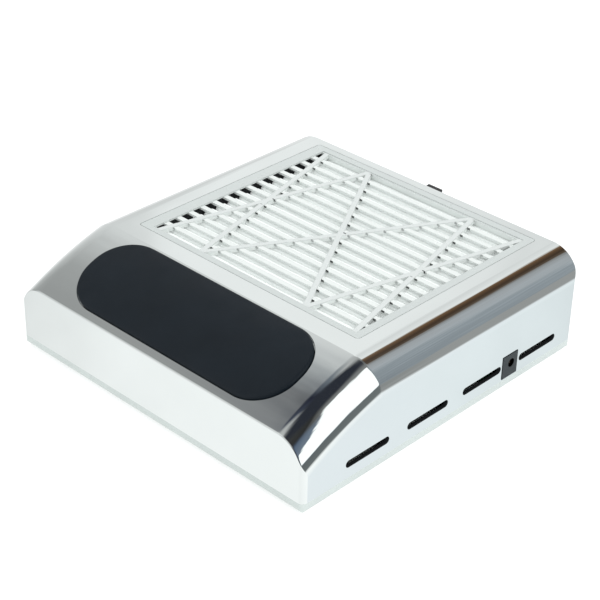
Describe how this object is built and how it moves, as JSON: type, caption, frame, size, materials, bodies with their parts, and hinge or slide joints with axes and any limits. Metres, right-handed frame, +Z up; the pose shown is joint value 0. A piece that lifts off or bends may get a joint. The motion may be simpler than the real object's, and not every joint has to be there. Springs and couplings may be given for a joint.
{
  "type": "nail dust collector",
  "caption": "Desk-top dust collector with a padded palm slope at the front, a lift-out pleated filter under a slatted grille, an axial fan below it and outlet slots in the side walls.",
  "frame": {"origin": "centre of the whole footprint, with the rocker that stands proud of the back wall, on the table that the rubber feet stand on", "axes": "+X to the user's right, +Y from the palm slope towards the back wall, +Z up"},
  "size_m": [0.2504, 0.2588, 0.0734],
  "materials": {
    "chrome_shell": "mirror-bright plated plastic",
    "base_plastic": "pale grey moulded plastic, satin",
    "screw_steel": "zinc-plated steel",
    "foot_rubber": "black moulded rubber",
    "pad_leather": "blue-black soft-touch leatherette",
    "pad_foam": "grey cushion foam",
    "inner_plastic": "black moulded plastic",
    "filter_plastic": "pale silver-grey moulded plastic",
    "filter_paper": "white pleated filter paper",
    "gasket_foam": "closed-cell foam strip",
    "guard_wire": "plated wire",
    "fan_plastic": "black glass-filled plastic",
    "rotor_steel": "drawn steel",
    "magnet": "bonded ferrite",
    "bright_steel": "ground bearing steel",
    "copper": "enamelled copper wire",
    "circuit_board": "green solder-masked laminate",
    "capacitor_sleeve": "dark blue sleeve",
    "nylon": "natural nylon",
    "socket_plastic": "dark grey moulded plastic",
    "contact_metal": "plated contact brass",
    "switch_plastic": "black nylon",
    "cable_jacket": "black PVC jacket"
  },
  "bodies": {
    "housing": {"top_shell": "chrome_shell", "base_plate": "base_plastic", "base_screws": "screw_steel", "rubber_feet": "foot_rubber", "pad_cover": "pad_leather", "pad_foam": "pad_foam", "pad_plate": "inner_plastic", "fan_deck": "inner_plastic", "deck_screws": "screw_steel", "fan_guard": "guard_wire", "fan_screws": "screw_steel", "fan_frame": "fan_plastic", "bearing_upper": "bright_steel", "bearing_lower": "bright_steel", "fan_stator": "rotor_steel", "fan_windings": "copper", "fan_board": "circuit_board", "power_board": "circuit_board", "board_screws": "screw_steel", "power_capacitor": "capacitor_sleeve", "cable_headers": "nylon", "cable_plugs": "nylon", "jack_housing": "socket_plastic", "jack_pin": "bright_steel", "jack_spring": "contact_metal", "switch_housing": "switch_plastic", "switch_terminals": "contact_metal", "fan_cable": "cable_jacket", "switch_cable": "cable_jacket", "cable_clips": "nylon"},
    "filter_cartridge": {"filter_frame": "filter_plastic", "filter_media": "filter_paper", "filter_tray": "inner_plastic", "filter_gasket": "gasket_foam"},
    "fan_rotor_body": {"fan_rotor": "fan_plastic", "fan_yoke": "rotor_steel", "fan_magnet": "magnet", "fan_shaft": "bright_steel", "fan_clip": "bright_steel"},
    "rocker": {"switch_rocker": "switch_plastic", "switch_plunger": "contact_metal"},
    "contact_lever": {"switch_lever": "contact_metal"}
  },
  "joints": [
    {"name": "filter_lift", "type": "slide", "parent": "housing", "child": "filter_cartridge", "axis": [0, 0, 1], "range_m": [0, 0.06]},
    {"name": "fan_spin", "type": "hinge", "parent": "housing", "child": "fan_rotor_body", "pos_m": [0, 0.0286, 0.035], "axis": [0, 0, 1], "continuous": true},
    {"name": "rocker_tilt", "type": "hinge", "parent": "housing", "child": "rocker", "pos_m": [0, 0.1191, 0.0605], "axis": [1, 0, 0], "range_deg": [-16, 0]},
    {"name": "lever_tilt", "type": "hinge", "parent": "housing", "child": "contact_lever", "pos_m": [0, 0.113, 0.0605], "axis": [1, 0, 0], "range_deg": [0, 8]}
  ],
  "couplings": [
    {"joint": "lever_tilt", "follows": "rocker_tilt", "ratio": -0.5}
  ]
}
